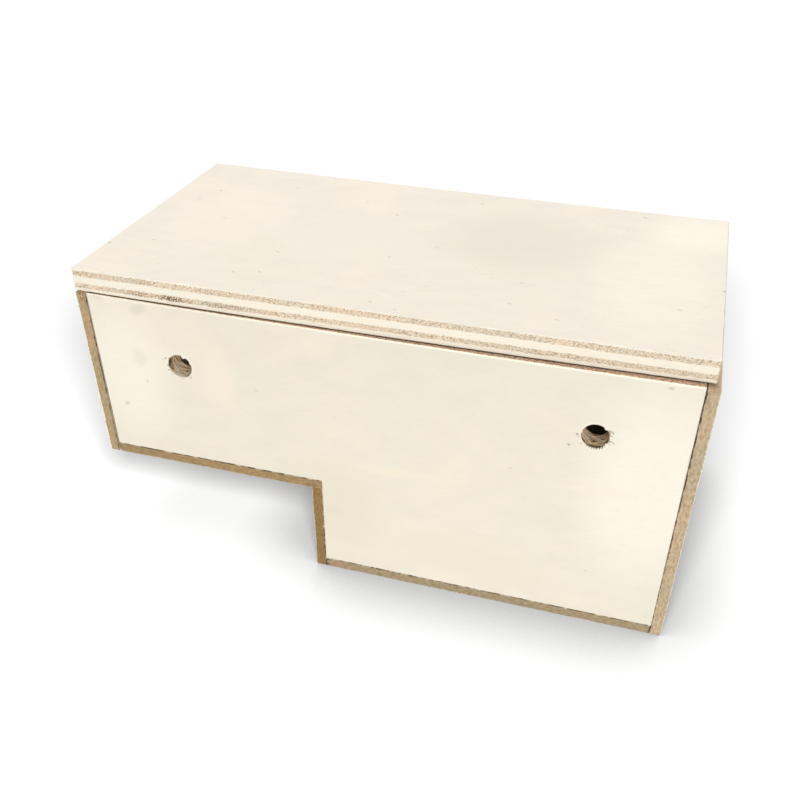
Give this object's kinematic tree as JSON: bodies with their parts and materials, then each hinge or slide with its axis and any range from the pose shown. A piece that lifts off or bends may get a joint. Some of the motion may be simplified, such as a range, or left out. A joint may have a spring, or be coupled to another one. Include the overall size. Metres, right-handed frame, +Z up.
{
  "type": "bird nest box",
  "caption": "L-shaped plywood nest box for small cage birds: shallow end with a round entrance, deep nest end, and a lid that opens on hinges.",
  "frame": {"origin": "middle of the foot under the nest, on the underside of the nest floor, where the box stands", "axes": "+X along the box from the shallow entrance end to the deep nest end, +Y from the hanging panel to the entrance panel, +Z up"},
  "size_m": [0.2408, 0.1293, 0.1254],
  "materials": {
    "panel_plywood": "sanded, bare",
    "strip_plywood": "sawn edges, bare",
    "lid_plywood": "sanded, bare",
    "hinge_steel": "zinc plated",
    "pin_steel": "drawn wire",
    "screw_steel": "zinc plated",
    "brad_steel": "bright drawn wire"
  },
  "bodies": {
    "box": {"hanging_panel": "panel_plywood", "entrance_panel": "panel_plywood", "shallow_end_panel": "strip_plywood", "shallow_floor": "strip_plywood", "step_riser": "strip_plywood", "nest_floor": "strip_plywood", "deep_end_panel": "strip_plywood", "shallow_hinge_box_leaf": "hinge_steel", "shallow_hinge_pin": "pin_steel", "deep_hinge_box_leaf": "hinge_steel", "deep_hinge_pin": "pin_steel", "box_leaf_screws": "screw_steel", "shallow_end_brads": "brad_steel", "shallow_floor_brads": "brad_steel", "riser_brads": "brad_steel", "nest_floor_brads": "brad_steel", "deep_end_brads": "brad_steel"},
    "lid": {"lid": "lid_plywood", "shallow_hinge_lid_leaf": "hinge_steel", "deep_hinge_lid_leaf": "hinge_steel", "lid_leaf_screws": "screw_steel"}
  },
  "joints": [
    {"name": "lid_hinge", "type": "hinge", "parent": "box", "child": "lid", "pos_m": [-0.0462, 0.06465, 0.1162], "axis": [-1, 0, 0], "range_deg": [0, 180]}
  ]
}
